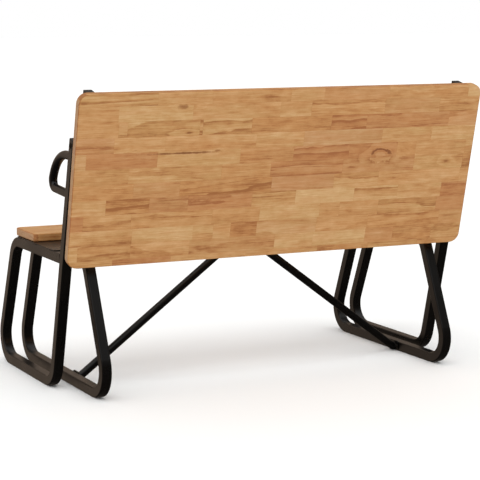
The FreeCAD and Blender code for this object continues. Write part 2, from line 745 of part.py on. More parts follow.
def seat_plate(side):
    """A flat plate welded across both top rails, from under the seat nearly to the post."""
    edges = sorted((side * (POST_OUT - SEAT_PLATE_EDGE), side * (LOOP_IN + SEAT_PLATE_EDGE)))
    post_front = post_depth(SEAT_UNDER) - HALF / math.cos(math.radians(POST_LEAN))
    low = vec(edges[0], SEAT_FRONT + SEAT_PLATE_INSET, RAIL_TOP)
    high = vec(edges[1], post_front - SEAT_PLATE_TO_POST, SEAT_UNDER)
    solid = box_between(low, high)
    corners = [edge for edge in solid.Edges if abs(edge.tangentAt(edge.FirstParameter).z) > 0.99]
    solid = solid.makeFillet(SEAT_PLATE_CORNER, corners)
    for y in seat_screw_places():
        place = vec(gap_middle(side), y, RAIL_TOP)
        hole = SEAT_SCREW + 4 * BOLT_HOLE_CLEARANCE
        start = place - Z_AXIS * PAST
        solid = solid.cut(rod(hole, start, start + Z_AXIS * (SEAT_PLATE_THICK + 2 * PAST)))
    return solid


def seat_screws():
    solids = []
    length = SEAT_PLATE_THICK + SEAT_SCREW_IN_WOOD
    for _, side in SIDES:
        for y in seat_screw_places():
            start = vec(gap_middle(side), y, RAIL_TOP)
            head = (SEAT_SCREW_HEAD, SEAT_SCREW_HEAD_HIGH)
            solids.append(machine_bolt(SEAT_SCREW, *head, start, Z_AXIS * -1, length))
    return solids


def brace_foot_screws():
    return [BRACE_STRETCHER_DEPTH + BRACE_FOOT_PITCH / 2 * end for end in (-1, 1)]


def brace_head_screws(side):
    return [side * (BRACE_TOP_MEET + BRACE_HEAD_PITCH / 2 * end) for end in (-1, 1)]


def brace(side):
    """A round tube with a plate at each end, from the floor rail up to the cross tube."""
    y = BRACE_STRETCHER_DEPTH
    top = RAIL_AXIS - HALF
    foot_face = LOOP_IN - BRACE_PLATE
    head_face = top - BRACE_PLATE
    low = vec(side * foot_face, y, BRACE_FOOT_AXIS)
    high = vec(side * BRACE_TOP_MEET, y, head_face)
    ahead = (high - low).normalize()
    past_head = high + ahead * BRACE_BLANK
    tube = rod(BRACE_TUBE, low - ahead * BRACE_BLANK, past_head)
    tube = tube.cut(rod(BRACE_TUBE - 2 * BRACE_WALL, low + ahead * BRACE_SOLID_FOOT, past_head))
    inside = sorted((0.0, side * foot_face))
    room = box_between(vec(inside[0], y - ROOM, BRACE_FOOT_LOW), vec(inside[1], y + ROOM, head_face))
    tube = tube.common(room)
    ends = sorted((side * foot_face, side * LOOP_IN))
    foot = box_between(
        vec(ends[0], y - BRACE_FOOT_LONG / 2, BRACE_FOOT_LOW),
        vec(ends[1], y + BRACE_FOOT_LONG / 2, BRACE_FOOT_HIGH),
    )
    corners = [edge for edge in foot.Edges if abs(edge.BoundBox.XLength - BRACE_PLATE) < 0.01]
    foot = foot.makeFillet(BRACE_FOOT_ROUND, corners)
    middle = side * BRACE_TOP_MEET
    across = (middle - BRACE_HEAD_LONG / 2, middle + BRACE_HEAD_LONG / 2)
    head = box_between(
        vec(across[0], y - BRACE_HEAD_WIDE / 2, head_face),
        vec(across[1], y + BRACE_HEAD_WIDE / 2, top),
    )
    hole = SMALL_BOLT + 2 * BOLT_HOLE_CLEARANCE
    for bolt_y in brace_foot_screws():
        start = vec(side * (foot_face - PAST), bolt_y, FOOT_AXIS)
        foot = foot.cut(rod(hole, start, start + X_AXIS * side * (BRACE_PLATE + 2 * PAST)))
    for x in brace_head_screws(side):
        start = vec(x, y, head_face - PAST)
        head = head.cut(rod(hole, start, start + Z_AXIS * (BRACE_PLATE + 2 * PAST)))
    return tube.fuse(foot).fuse(head).removeSplitter()


def brace_screws():
    """Two thread-forming screws through each end plate of both braces."""
    solids = []
    y = BRACE_STRETCHER_DEPTH
    foot_face = LOOP_IN - BRACE_PLATE
    head_face = RAIL_AXIS - HALF - BRACE_PLATE
    for _, side in SIDES:
        for bolt_y in brace_foot_screws():
            start = vec(side * foot_face, bolt_y, FOOT_AXIS)
            solids.append(small_bolt(start, X_AXIS * -side, SMALL_BOLT_IN))
        for x in brace_head_screws(side):
            start = vec(x, y, head_face)
            solids.append(small_bolt(start, Z_AXIS * -1, SMALL_BOLT_IN))
    return solids


def middle_depth():
    """Depth half way between the foremost and the rearmost point of the bench."""
    lean = math.atan((OUTER_FRONT_TOP - OUTER_FRONT_FOOT) / (RAIL_AXIS - FOOT_AXIS))
    reach = BEND_RADIUS * math.tan((math.pi / 2 + lean) / 2)
    foremost = OUTER_FRONT_FOOT + reach - BEND_RADIUS - HALF
    high_edge = on_panel(PANEL_WIDTH, PANEL_THICK)
    ease_in = PANEL_EASE * (PANEL_UP.y + PANEL_UP.z - 1)
    return (foremost + high_edge.y - ease_in) / 2


def nodes():
    """Every named piece of the bench, with its solids."""
    pieces = {
        "tabletop_panel": [tabletop_panel()],
        "table_inserts": table_inserts(),
        "table_bolts": table_bolts(),
        "cleat_bushes": cleat_bushes(),
        "cleat_end_plugs": cleat_end_plugs(),
        "post_bushes": post_bushes(),
        "pivot_discs": pivot_discs(),
        "clamp_washers": clamp_washers(),
        "seat_board": [seat_board()],
        "seat_screws": seat_screws(),
        "seat_stretcher": [seat_stretcher()],
        "brace_stretcher": [brace_stretcher()],
        "stretcher_plugs": stretcher_plugs(),
        "stretcher_bolts": stretcher_bolts(),
        "brace_screws": brace_screws(),
    }
    pairs = (
        ("cleat", cleat),
        ("outer_frame", outer_frame),
        ("inner_loop", inner_loop),
        ("post_cap", post_cap),
        ("arm_loop", arm_loop),
        ("rest_buffer", rest_buffer),
        ("pivot_bolt", pivot_bolt),
        ("clamp_knob", clamp_knob),
        ("knob_insert", knob_insert),
        ("seat_plate", seat_plate),
        ("brace", brace),
    )
    for name, make in pairs:
        for word, side in SIDES:
            pieces[word + "_" + name] = [make(side)]
    return pieces


def main():
    os.makedirs("parts", exist_ok=True)
    shift = vec(0, -middle_depth(), 0)
    for name, solids in nodes().items():
        placed = []
        for solid in solids:
            moved = solid.copy()
            moved.translate(shift)
            placed.extend(moved.Solids)
        shape = placed[0] if len(placed) == 1 else Part.makeCompound(placed)
        shape.exportStep("parts/" + name + ".step")
        box = shape.optimalBoundingBox(False, False)
        spans = ((box.XMin, box.XMax), (box.YMin, box.YMax), (box.ZMin, box.ZMax))
        extents = " ".join(f"{low:8.2f} {high:8.2f}" for low, high in spans)
        state = f"solids {len(placed)} valid {shape.isValid()} volume {shape.Volume:12.1f}"
        print(f"{name:18s} {state} at {extents}")
    top_height = PIVOT_HEIGHT + PIVOT_TO_FACE + PANEL_THICK
    print("shift", round(shift.y, 3), "table top height", round(top_height, 2))


main()
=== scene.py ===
import json
import math

import bpy
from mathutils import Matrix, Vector


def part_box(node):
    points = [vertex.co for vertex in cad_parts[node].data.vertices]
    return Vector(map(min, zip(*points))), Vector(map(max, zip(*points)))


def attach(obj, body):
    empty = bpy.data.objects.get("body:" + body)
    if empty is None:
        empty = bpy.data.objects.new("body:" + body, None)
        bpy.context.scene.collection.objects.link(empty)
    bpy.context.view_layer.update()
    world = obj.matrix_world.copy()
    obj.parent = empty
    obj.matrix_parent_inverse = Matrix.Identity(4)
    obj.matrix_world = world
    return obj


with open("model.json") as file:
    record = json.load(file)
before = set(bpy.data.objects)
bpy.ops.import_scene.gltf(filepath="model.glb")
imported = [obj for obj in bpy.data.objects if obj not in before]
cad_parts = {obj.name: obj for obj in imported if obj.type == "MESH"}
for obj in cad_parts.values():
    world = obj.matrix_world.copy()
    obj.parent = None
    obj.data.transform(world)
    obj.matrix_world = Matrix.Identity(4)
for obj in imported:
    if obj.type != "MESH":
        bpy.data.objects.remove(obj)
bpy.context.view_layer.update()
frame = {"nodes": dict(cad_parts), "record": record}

# Looks of a bench whose backrest tips over to become a picnic table top.
# Metres, in the frame of the CAD model: +X along the bench, -Y the seat side.

ALONG = Vector((1, 0, 0))
BACKWARD = Vector((0, 1, 0))
UPWARD = Vector((0, 0, 1))

# The backrest's lean: the ways up along it and out of its rear face
TABLE_LEAN = math.radians(13.6)
TABLE_UP = Vector((0, math.sin(TABLE_LEAN), math.cos(TABLE_LEAN)))
TABLE_BACK = Vector((0, math.cos(TABLE_LEAN), -math.sin(TABLE_LEAN)))

# The camera: its place, how far it turns from -Y and looks down, and its lens
CAMERA_PLACE = Vector((2.3111, 4.8141, 1.1369))
CAMERA_YAW = 0.450085
CAMERA_PITCH = 0.139554
CAMERA_LENS = 130.226
CAMERA_SENSOR = 36.0

# The room that gloss mirrors: a light ceiling, and a warm window in front to the right
CEILING_FROM = 0.40
CEILING_TO = 1.0
CEILING_LIGHT = 0.9
WINDOW_WAY = (0.43, -0.90, 0.0)
ROOM_DARK = (0.062, 0.053, 0.045, 1.0)
ROOM_WARM = (0.47, 0.355, 0.27, 1.0)

# The white surroundings, the overhead light and the floor
WHITE = (1.0, 1.0, 1.0, 1.0)
OVERHEAD_STRENGTH = 0.75
OVERHEAD_SPREAD = math.radians(70)
OVERHEAD_WAY = Vector((-0.25, -0.45, -1.0))
FLOOR_REACH = 40.0

# The frame's square tube, and the posts: their middle along the bench and their lean
HALF_TUBE = 0.015
POST_MIDDLE = 0.632
POST_LEAN = math.radians(15.1)
POST_UP = Vector((0, math.sin(POST_LEAN), math.cos(POST_LEAN)))
POST_FORWARD = Vector((0, -math.cos(POST_LEAN), math.sin(POST_LEAN)))

# Where an arm loop's two ends meet the front of the post: how far under the pivot, and
# half the size of the loop's tube there, up the post and along the bench
ARM_WELDS = ((0.0325, 0.01295), (0.1425, 0.01277))
ARM_HALF = 0.0125

# How far under the pivot the top rail's two edges meet it, and half a weld's length
RAIL_WELDS = (0.316, 0.346)
RAIL_WELD_HALF = 0.0125

# Where the braces meet their plates: their Y from the pivot, then for the foot and the
# head their place along the bench, their height, and half the size of the slanting cut.
# The foot's bead leaves out the degrees where the tube nears the floor.
BRACE_DEPTH = -0.2435
BRACE_FOOT = (0.546, 0.0095, 0.01496)
BRACE_HEAD = (0.0514, 0.378, 0.02008)
BRACE_HALF = 0.012
BRACE_FOOT_BEAD = (-12, 192)

# The seat plates' stitches: where each starts, as a share of the plate, and its length
SEAT_STITCHES = (0.04, 0.46, 0.88)
SEAT_STITCH_LONG = 0.028

# Weld beads: the steps of a ring, then their radius, sides and steps, and their ripples
RING_STEPS = 72
BEAD_RADIUS = 0.0022
BEAD_SIDES = 10
BEAD_STEP = 0.00075
RIPPLE_PITCH = 0.0030
RIPPLE_DEPTH = 0.18

# Staves of the butcher-block boards: how far their butt joints scatter, as a share of
# their length, how far a joint's dark line fades, and each board's first row and seed
STAVE_WIDTH = 0.0455
STAVE_LENGTH = 0.205
BUTT_SCATTER = 0.62
JOINT_FADE = (0.0001, 0.0007)
TABLE_TOP_ROW = 0.0410
SEAT_BACK_ROW = 0.0440
TABLE_SEED = 4.0
SEAT_SEED = 21.0

# Staves of the table that stand out: their row under the top edge, their two
# ends along X, and their chances, which set tone, figure and redness from 0 to 1
STRIKING_STAVES = (
    (1, 0.305, 0.530, (0.93, 0.25, 0.20)),
    (2, 0.280, 0.500, (0.97, 0.95, 0.30)),
    (3, -0.650, -0.495, (0.92, 0.30, 0.55)),
    (4, -0.215, -0.030, (0.18, 0.95, 0.98)),
    (4, -0.380, -0.215, (0.09, 0.90, 0.92)),
    (5, -0.200, 0.040, (0.17, 1.00, 0.93)),
    (7, 0.090, 0.295, (0.10, 0.70, 0.95)),
    (7, -0.650, -0.557, (0.02, 0.45, 0.97)),
    (8, 0.612, 0.650, (0.01, 0.50, 1.00)),
    (8, -0.140, 0.060, (0.97, 0.25, 0.10)),
    (9, 0.270, 0.460, (0.92, 0.20, 0.30)),
    (9, 0.065, 0.150, (0.08, 0.70, 0.80)),
    (10, -0.308, -0.128, (1.00, 0.20, 0.15)),
)

# Knots and dark grain lines of the table: their middle along X and below the top
# edge, how far the grain swells round them, how dark their heart is, 1 for an
# arch-shaped heart, and their height as a share of their length. The arch lies at
# KNOT_RIM of the swell's size.
KNOT_RIM = 0.62
KNOTS = (
    (0.335, 0.047, 0.019, 0.58, 0.0, 0.38),
    (0.312, 0.124, 0.009, 0.50, 0.0, 0.22),
    (-0.325, 0.214, 0.025, 0.76, 1.0, 0.48),
    (0.470, 0.170, 0.010, 0.30, 0.0, 0.45),
    (-0.560, 0.245, 0.009, 0.35, 0.0, 0.45),
    (0.318, 0.184, 0.0100, 0.90, 0.0, 0.032),
    (0.218, 0.181, 0.0090, 0.50, 0.0, 0.30),
    (0.060, 0.330, 0.0045, 0.30, 0.0, 0.020),
    (-0.110, 0.243, 0.0045, 0.35, 0.0, 0.022),
)


def srgb(red, green, blue):
    """A linear colour with alpha from the 0-255 values of a colour on screen."""
    def linear(value):
        share = value / 255
        return share / 12.92 if share <= 0.04045 else ((share + 0.055) / 1.055) ** 2.4
    return (linear(red), linear(green), linear(blue), 1.0)


class Nodes:
    """Places nodes in one tree from left to right and joins them."""

    def __init__(self, tree):
        self.tree = tree
        self.column = 0

    def add(self, kind, **settings):
        node = self.tree.nodes.new(kind)
        node.location = (self.column * 190, 0)
        self.column += 1
        for name, value in settings.items():
            setattr(node, name, value)
        return node

    def feed(self, socket, value):
        if isinstance(value, bpy.types.NodeSocket):
            self.tree.links.new(value, socket)
        else:
            socket.default_value = value

    def math(self, operation, first, second=0.0, third=0.0):
        node = self.add("ShaderNodeMath", operation=operation)
        for socket, value in zip(node.inputs, (first, second, third)):
            self.feed(socket, value)
        return node.outputs[0]

    def less(self, first, second):
        return self.math("SUBTRACT", first, second)

    def times(self, first, second):
        return self.math("MULTIPLY", first, second)

    def vector(self, operation, first, second=(0, 0, 0), scale=1.0):
        node = self.add("ShaderNodeVectorMath", operation=operation)
        self.feed(node.inputs[0], first)
        if operation == "SCALE":
            self.feed(node.inputs["Scale"], scale)
        elif operation != "LENGTH":
            self.feed(node.inputs[1], second)
        gives_number = operation in ("DOT_PRODUCT", "LENGTH")
        return node.outputs["Value" if gives_number else "Vector"]

    def join(self, x, y, z):
        node = self.add("ShaderNodeCombineXYZ")
        for socket, value in zip(node.inputs, (x, y, z)):
            self.feed(socket, value)
        return node.outputs[0]

    def split(self, vector):
        node = self.add("ShaderNodeSeparateXYZ")
        self.feed(node.inputs[0], vector)
        return node.outputs

    def smooth(self, value, low, high, start=0.0, end=1.0):
        node = self.add("ShaderNodeMapRange", interpolation_type="SMOOTHSTEP")
        for name, number in (
            ("Value", value), ("From Min", low), ("From Max", high),
            ("To Min", start), ("To Max", end),
        ):
            self.feed(node.inputs[name], number)
        return node.outputs["Result"]

    def noise(self, vector, scale, detail=3.0, roughness=0.5):
        node = self.add("ShaderNodeTexNoise", noise_dimensions="3D")
        for name, value in (
            ("Vector", vector), ("Scale", scale), ("Detail", detail), ("Roughness", roughness),
        ):
            self.feed(node.inputs[name], value)
        return node.outputs["Fac"]

    def chance(self, vector):
        node = self.add("ShaderNodeTexWhiteNoise", noise_dimensions="3D")
        self.feed(node.inputs["Vector"], vector)
        return node.outputs["Value"], node.outputs["Color"]

    def ramp(self, value, stops):
        node = self.add("ShaderNodeValToRGB")
        self.feed(node.inputs[0], value)
        band = node.color_ramp
        while len(band.elements) < len(stops):
            band.elements.new(1.0)
        for element, (place, colour) in zip(band.elements, stops):
            element.position = place
            element.color = colour
        return node.outputs["Color"]

    def mix(self, share, first, second, blend="MIX"):
        node = self.add("ShaderNodeMix", data_type="RGBA", blend_type=blend)
        colours = [socket for socket in node.inputs if socket.type == "RGBA"]
        self.feed(node.inputs[0], share)
        self.feed(colours[0], first)
        self.feed(colours[1], second)
        return [socket for socket in node.outputs if socket.type == "RGBA"][0]

    def group(self, tree, **values):
        node = self.add("ShaderNodeGroup", node_tree=tree)
        for name, value in values.items():
            self.feed(node.inputs[name.replace("_", " ")], value)
        return node.outputs


SOCKETS = {"number": "NodeSocketFloat", "vector": "NodeSocketVector", "colour": "NodeSocketColor"}


def effect(name, takes, gives):
    """A new node group: takes and gives list its sockets as (name, sort, default)."""
    tree = bpy.data.node_groups.new(name, "ShaderNodeTree")
    for label, sort, value in takes:
        socket = tree.interface.new_socket(label, in_out="INPUT", socket_type=SOCKETS[sort])
        socket.default_value = value
    for label, sort in gives:
        tree.interface.new_socket(label, in_out="OUTPUT", socket_type=SOCKETS[sort])
    nodes = Nodes(tree)
    given = nodes.add("NodeGroupInput").outputs
    result = tree.nodes.new("NodeGroupOutput")
    return tree, nodes, given, result


def material(name):
    """A new material with its Principled shader, and its texture coordinates."""
    made = bpy.data.materials.new(name)
    made.use_nodes = True
    tree = made.node_tree
    tree.nodes.clear()
    nodes = Nodes(tree)
    place = nodes.add("ShaderNodeTexCoord").outputs
    shader = tree.nodes.new("ShaderNodeBsdfPrincipled")
    output = tree.nodes.new("ShaderNodeOutputMaterial")
    tree.links.new(shader.outputs[0], output.inputs[0])
    return made, nodes, place, shader


def set_plain(shader, **values):
    for name, value in values.items():
        shader.inputs[name.replace("_", " ")].default_value = value


def bump(nodes, shader, height, depth):
    """Turns a height from 0 to 1 into a relief of that depth in metres."""
    node = nodes.add("ShaderNodeBump")
    nodes.feed(node.inputs["Height"], height)
    node.inputs["Strength"].default_value = 1.0
    node.inputs["Distance"].default_value = depth
    nodes.feed(shader.inputs["Normal"], node.outputs[0])


def board_place_effect():
    """Turns a point of the bench into its place along, across and through a board."""
    tree, nodes, given, result = effect(
        "board place",
        [("Point", "vector", (0, 0, 0)), ("Across", "vector", (0, 1, 0)),
         ("Through", "vector", (0, 0, 1)), ("Edge", "number", 0.0), ("Face", "number", 0.0)],
        [("Board", "vector")],
    )
    along = nodes.split(given["Point"])[0]
    across = nodes.less(nodes.vector("DOT_PRODUCT", given["Point"], given["Across"]), given["Edge"])
    through = nodes.less(nodes.vector("DOT_PRODUCT", given["Point"], given["Through"]), given["Face"])
    nodes.feed(result.inputs["Board"], nodes.join(along, across, through))
    return tree


def stave_effect():
    """Cuts a board into rows of finger-width staves with staggered butt joints."""
    tree, nodes, given, result = effect(
        "staves",
        [("Board", "vector", (0, 0, 0)), ("Width", "number", STAVE_WIDTH),
         ("Length", "number", STAVE_LENGTH), ("First Row", "number", 0.0), ("Seed", "number", 0.0)],
        [("Chance", "vector"), ("Joint", "number"), ("Middle", "number")],
    )
    along, across, _ = nodes.split(given["Board"])
    rows = nodes.math("DIVIDE", nodes.math("ADD", across, given["First Row"]), given["Width"])
    row = nodes.math("FLOOR", rows)
    row_chance, _ = nodes.chance(nodes.join(row, given["Seed"], 3.7))
    row_shift = nodes.times(row_chance, 9.0)
    runs = nodes.math("ADD", nodes.math("DIVIDE", along, given["Length"]), row_shift)
    nearest = nodes.math("FLOOR", nodes.math("ADD", runs, 0.5))
    shift, _ = nodes.chance(nodes.join(nearest, row, given["Seed"]))
    butt = nodes.math("ADD", nearest, nodes.times(nodes.less(shift, 0.5), BUTT_SCATTER))
    past = nodes.math("GREATER_THAN", runs, butt)
    number = nodes.math("ADD", nodes.less(nearest, 1.0), past)
    _, colour = nodes.chance(nodes.join(number, row, nodes.math("ADD", given["Seed"], 11.3)))
    to_butt = nodes.times(nodes.math("ABSOLUTE", nodes.less(runs, butt)), given["Length"])
    in_row = nodes.math("FRACT", rows)
    to_side = nodes.times(nodes.math("MINIMUM", in_row, nodes.less(1.0, in_row)), given["Width"])
    nearest_joint = nodes.math("MINIMUM", to_butt, to_side)
    nodes.feed(result.inputs["Chance"], colour)
    nodes.feed(result.inputs["Joint"], nodes.smooth(nearest_joint, *JOINT_FADE, 1.0, 0.0))
    nodes.feed(result.inputs["Middle"], nodes.times(nodes.less(in_row, 0.5), given["Width"]))
    return tree


def striking_stave_effect():
    """Puts one chosen stave over the rows, with its own chances and joints."""
    tree, nodes, given, result = effect(
        "striking stave",
        [("Board", "vector", (0, 0, 0)), ("Chance", "vector", (0, 0, 0)), ("Joint", "number", 0.0),
         ("Start", "number", 0.0), ("End", "number", 0.0), ("Low", "number", 0.0),
         ("High", "number", 0.0), ("Own Chance", "vector", (0, 0, 0))],
        [("Chance", "vector"), ("Joint", "number")],
    )
    along, across, _ = nodes.split(given["Board"])
    past_start, before_end = nodes.less(along, given["Start"]), nodes.less(given["End"], along)
    past_low, before_high = nodes.less(across, given["Low"]), nodes.less(given["High"], across)
    from_ends = nodes.math("MINIMUM", past_start, before_end)
    from_sides = nodes.math("MINIMUM", past_low, before_high)
    inside = nodes.math("GREATER_THAN", nodes.math("MINIMUM", from_ends, from_sides), 0.0)
    in_its_row = nodes.math("GREATER_THAN", from_sides, 0.0)
    chance = nodes.add("ShaderNodeMix", data_type="VECTOR")
    nodes.feed(chance.inputs[0], inside)
    vectors = [socket for socket in chance.inputs if socket.type == "VECTOR"]
    nodes.feed(vectors[-2], given["Chance"])
    nodes.feed(vectors[-1], given["Own Chance"])
    made = [socket for socket in chance.outputs if socket.type == "VECTOR"][0]
    edge = nodes.math("MINIMUM", nodes.math("ABSOLUTE", from_ends), nodes.math("ABSOLUTE", from_sides))
    own_joint = nodes.smooth(edge, *JOINT_FADE, 1.0, 0.0)
    at_end = nodes.smooth(nodes.math("ABSOLUTE", from_ends), *JOINT_FADE, 1.0, 0.0)
    cleared = nodes.times(given["Joint"], nodes.less(1.0, inside))
    with_own = nodes.math("MAXIMUM", cleared, nodes.times(own_joint, inside))
    nodes.feed(result.inputs["Chance"], made)
    end_joint = nodes.times(at_end, in_its_row)
    nodes.feed(result.inputs["Joint"], nodes.math("MAXIMUM", with_own, end_joint))
    return tree


def knot_effect():
    """Swells the growth rings round one knot, with a dark heart or a dark arch over it."""
    tree, nodes, given, result = effect(
        "knot",
        [("Board", "vector", (0, 0, 0)), ("Swell", "number", 0.0), ("Heart", "number", 0.0),
         ("Middle", "vector", (0, 0, 0)), ("Size", "number", 0.01), ("Dark", "number", 0.5),
         ("Arch", "number", 0.0), ("Squat", "vector", (0.45, 1, 0))],
        [("Swell", "number"), ("Heart", "number")],
    )
    apart = nodes.vector("SUBTRACT", given["Board"], given["Middle"])
    wander = nodes.less(nodes.noise(given["Board"], 60.0, 2.0), 0.5)
    flat = nodes.vector("MULTIPLY", apart, given["Squat"])
    away = nodes.math("DIVIDE", nodes.vector("LENGTH", flat), given["Size"])
    away = nodes.math("MULTIPLY_ADD", wander, 0.55, away)
    hump = nodes.math("EXPONENT", nodes.times(nodes.times(away, away), -1.0))
    nodes.feed(result.inputs["Swell"], nodes.math("MULTIPLY_ADD", hump, given["Size"], given["Swell"]))
    heart = nodes.smooth(away, 0.10, 0.42, 1.0, 0.0)
    above = nodes.smooth(nodes.math("DIVIDE", nodes.split(apart)[1], given["Size"]), -0.15, 0.10)
    from_rim = nodes.math("ABSOLUTE", nodes.less(away, KNOT_RIM))
    arch = nodes.times(nodes.smooth(from_rim, 0.04, 0.15, 1.0, 0.0), above)
    shape = nodes.math("MULTIPLY_ADD", nodes.less(arch, heart), given["Arch"], heart)
    shape = nodes.times(shape, given["Dark"])
    nodes.feed(result.inputs["Heart"], nodes.math("MAXIMUM", given["Heart"], shape))
    return tree


def chance_between(nodes, value, steps, low, high):
    """A second chance drawn from a first, spread from low to high."""
    again = nodes.math("FRACT", nodes.times(value, steps))
    return nodes.math("MULTIPLY_ADD", again, high - low, low)


def grain_effect():
    """Rings, streaks, fibres and pores of one stave, cut from its own place in a log."""
    tree, nodes, given, result = effect(
        "grain",
        [("Board", "vector", (0, 0, 0)), ("Chance", "vector", (0, 0, 0)), ("Middle", "number", 0.0),
         ("Swell", "number", 0.0), ("Ring Pitch", "number", 0.0095), ("Sway", "number", 0.016)],
        [("Rings", "number"), ("Bands", "number"), ("Streaks", "number"), ("Fibres", "number"),
         ("Mottle", "number"), ("Lines", "number"), ("Pores", "number"), ("Drift", "number")],
    )
    along, across, through = nodes.split(given["Board"])
    first, second, third = nodes.split(given["Chance"])
    own = nodes.vector("ADD", given["Board"], nodes.vector("SCALE", given["Chance"], scale=17.0))

    def grained(stretch, scale, detail, roughness):
        drawn_out = nodes.vector("MULTIPLY", own, (1.0, stretch, stretch))
        return nodes.noise(drawn_out, scale, detail, roughness)

    # The grain sways along the stave, and each stave lies at its own place beside the
    # pith of its log, so its growth rings show as straight lines or as arches
    sway = nodes.times(nodes.less(grained(3.5, 4.5, 2.0, 0.45), 0.5), given["Sway"])
    sway = nodes.math("MULTIPLY_ADD", nodes.less(grained(4.0, 26.0, 2.0, 0.5), 0.5), 0.0030, sway)
    tilt = nodes.times(along, chance_between(nodes, second, 7.3, -0.035, 0.035))
    to_pith = nodes.less(tilt, chance_between(nodes, first, 5.7, -0.075, 0.075))
    side = nodes.math("ADD", given["Middle"], to_pith)
    deep = nodes.math("ADD", through, chance_between(nodes, third, 3.9, 0.010, 0.070))
    deep = nodes.math("MULTIPLY_ADD", tilt, 0.6, deep)
    radius = nodes.vector("LENGTH", nodes.join(side, deep, 0.0))
    radius = nodes.math("ADD", nodes.math("ADD", radius, sway), given["Swell"])

    # Each ring darkens towards its late wood, some years more than others
    turns = nodes.math("DIVIDE", radius, given["Ring Pitch"])
    turn = nodes.math("FRACT", turns)
    late = nodes.times(nodes.math("POWER", turn, 2.2), nodes.smooth(turn, 0.90, 1.0, 1.0, 0.0))
    year, _ = nodes.chance(nodes.join(nodes.math("FLOOR", turns), third, first))

    for name, value in (
        ("Rings", nodes.times(late, nodes.math("MULTIPLY_ADD", year, 0.8, 0.2))),
        ("Bands", nodes.noise(nodes.join(radius, first, second), 110.0, 2.0)),
        ("Streaks", grained(14.0, 5.0, 3.0, 0.6)),
        ("Fibres", grained(24.0, 14.0, 4.0, 0.70)),
        ("Drift", grained(5.0, 7.0, 3.0, 0.6)),
        ("Mottle", grained(1.6, 30.0, 2.0, 0.55)),
        ("Lines", nodes.smooth(grained(34.0, 3.6, 1.0, 0.4), 0.65, 0.72)),
        ("Pores", nodes.smooth(grained(11.0, 170.0, 1.0, 0.5), 0.60, 0.70)),
    ):
        nodes.feed(result.inputs[name], value)
    return tree


BOARD_PLACE = board_place_effect()
STAVES = stave_effect()
STRIKING_STAVE = striking_stave_effect()
KNOT = knot_effect()
GRAIN = grain_effect()


# Tones of the oiled wood, from its darkest streaks to its palest
WOOD_TONES = (
    (0.00, srgb(153, 98, 54)),
    (0.15, srgb(173, 120, 70)),
    (0.35, srgb(185, 135, 83)),
    (0.50, srgb(191, 144, 93)),
    (0.65, srgb(197, 152, 103)),
    (0.85, srgb(204, 162, 115)),
    (1.00, srgb(216, 178, 133)),
)

# Tints that the wood's hue drifts between, from orange to straw yellow
HUE_DRIFT = (
    (0.25, (1.010, 0.968, 0.935, 1.0)),
    (0.50, (1.0, 1.0, 1.0, 1.0)),
    (0.75, (0.985, 1.040, 1.030, 1.0)),
)

# How a stave's chance sets its tone: most are alike, a few are dark or pale
STAVE_TONES = (
    (0.00, (0.24, 0.24, 0.24, 1.0)),
    (0.12, (0.40, 0.40, 0.40, 1.0)),
    (0.50, (0.50, 0.50, 0.50, 1.0)),
    (0.88, (0.58, 0.58, 0.58, 1.0)),
    (1.00, (0.80, 0.80, 0.80, 1.0)),
)

# How far each pattern of the grain, from 0 to 1, moves the tone to both sides
STAVE_WEIGHT = 0.52
GRAIN_WEIGHTS = (("Streaks", 0.33), ("Fibres", 1.22), ("Mottle", 0.58), ("Bands", 0.70))

# The oiled wood's own colours, and how far each takes over
REDDISH, REDDISH_SHARE = srgb(166, 102, 66), 0.30
HEART_BROWN, HEART_SHARE = srgb(112, 66, 38), 0.70
END_GRAIN, END_GRAIN_SHARE = srgb(144, 122, 104), 0.45


